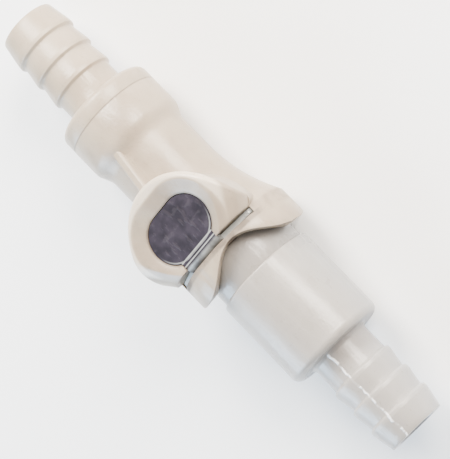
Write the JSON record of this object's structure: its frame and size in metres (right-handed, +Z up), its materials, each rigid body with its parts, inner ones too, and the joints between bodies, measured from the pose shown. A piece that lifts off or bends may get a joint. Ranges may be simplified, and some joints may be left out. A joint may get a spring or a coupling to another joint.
{
  "type": "quick disconnect coupling",
  "caption": "Plastic quick disconnect coupling: a latching body and a valved insert, joined in line, each ending in a hose barb.",
  "frame": {"origin": "on the surface that the coupling lies on, under the middle of its length", "axes": "+X from the body's hose barb to the insert's hose barb, +Z up through the thumb pad"},
  "size_m": [0.0904, 0.022, 0.0197],
  "materials": {
    "cream_acetal": "satin moulded",
    "milky_plastic": "satin, slightly translucent",
    "white_acetal": "satin moulded",
    "latch_steel": "rolled and worn",
    "spring_wire": "drawn wire",
    "black_rubber": "moulded"
  },
  "bodies": {
    "body": {"body_barb_end": "cream_acetal", "body_joint_seal": "black_rubber", "body_shell": "cream_acetal", "body_stem_guide": "white_acetal", "body_valve_spring": "spring_wire", "latch_spring": "spring_wire"},
    "latch": {"thumb_latch": "latch_steel"},
    "body_valve": {"body_poppet": "white_acetal", "body_poppet_seal": "black_rubber"},
    "insert": {"insert_nose": "milky_plastic", "insert_nose_seal": "black_rubber", "insert_joint_seal": "black_rubber", "insert_barb_end": "milky_plastic", "insert_stem_guide": "white_acetal", "insert_valve_spring": "spring_wire"},
    "insert_valve": {"insert_poppet": "white_acetal", "insert_poppet_seal": "black_rubber"}
  },
  "joints": [
    {"name": "latch_press", "type": "slide", "parent": "body", "child": "latch", "axis": [0, 0, -1], "range_m": [0, 0.0013], "stiffness_N_per_m": 1500, "springref_m": -0.001, "deforming": ["latch_spring"]},
    {"name": "insert_swivel", "type": "hinge", "parent": "body", "child": "insert", "pos_m": [0, 0, 0.0087], "axis": [1, 0, 0], "continuous": true},
    {"name": "body_valve_slide", "type": "slide", "parent": "body", "child": "body_valve", "axis": [1, 0, 0], "range_m": [-0.001, 0.001], "stiffness_N_per_m": 600, "deforming": ["body_valve_spring"]},
    {"name": "insert_valve_slide", "type": "slide", "parent": "insert", "child": "insert_valve", "axis": [1, 0, 0], "range_m": [-0.001, 0.001], "stiffness_N_per_m": 600, "deforming": ["insert_valve_spring"]}
  ],
  "couplings": [
    {"joint": "insert_valve_slide", "follows": "body_valve_slide", "ratio": 1}
  ]
}
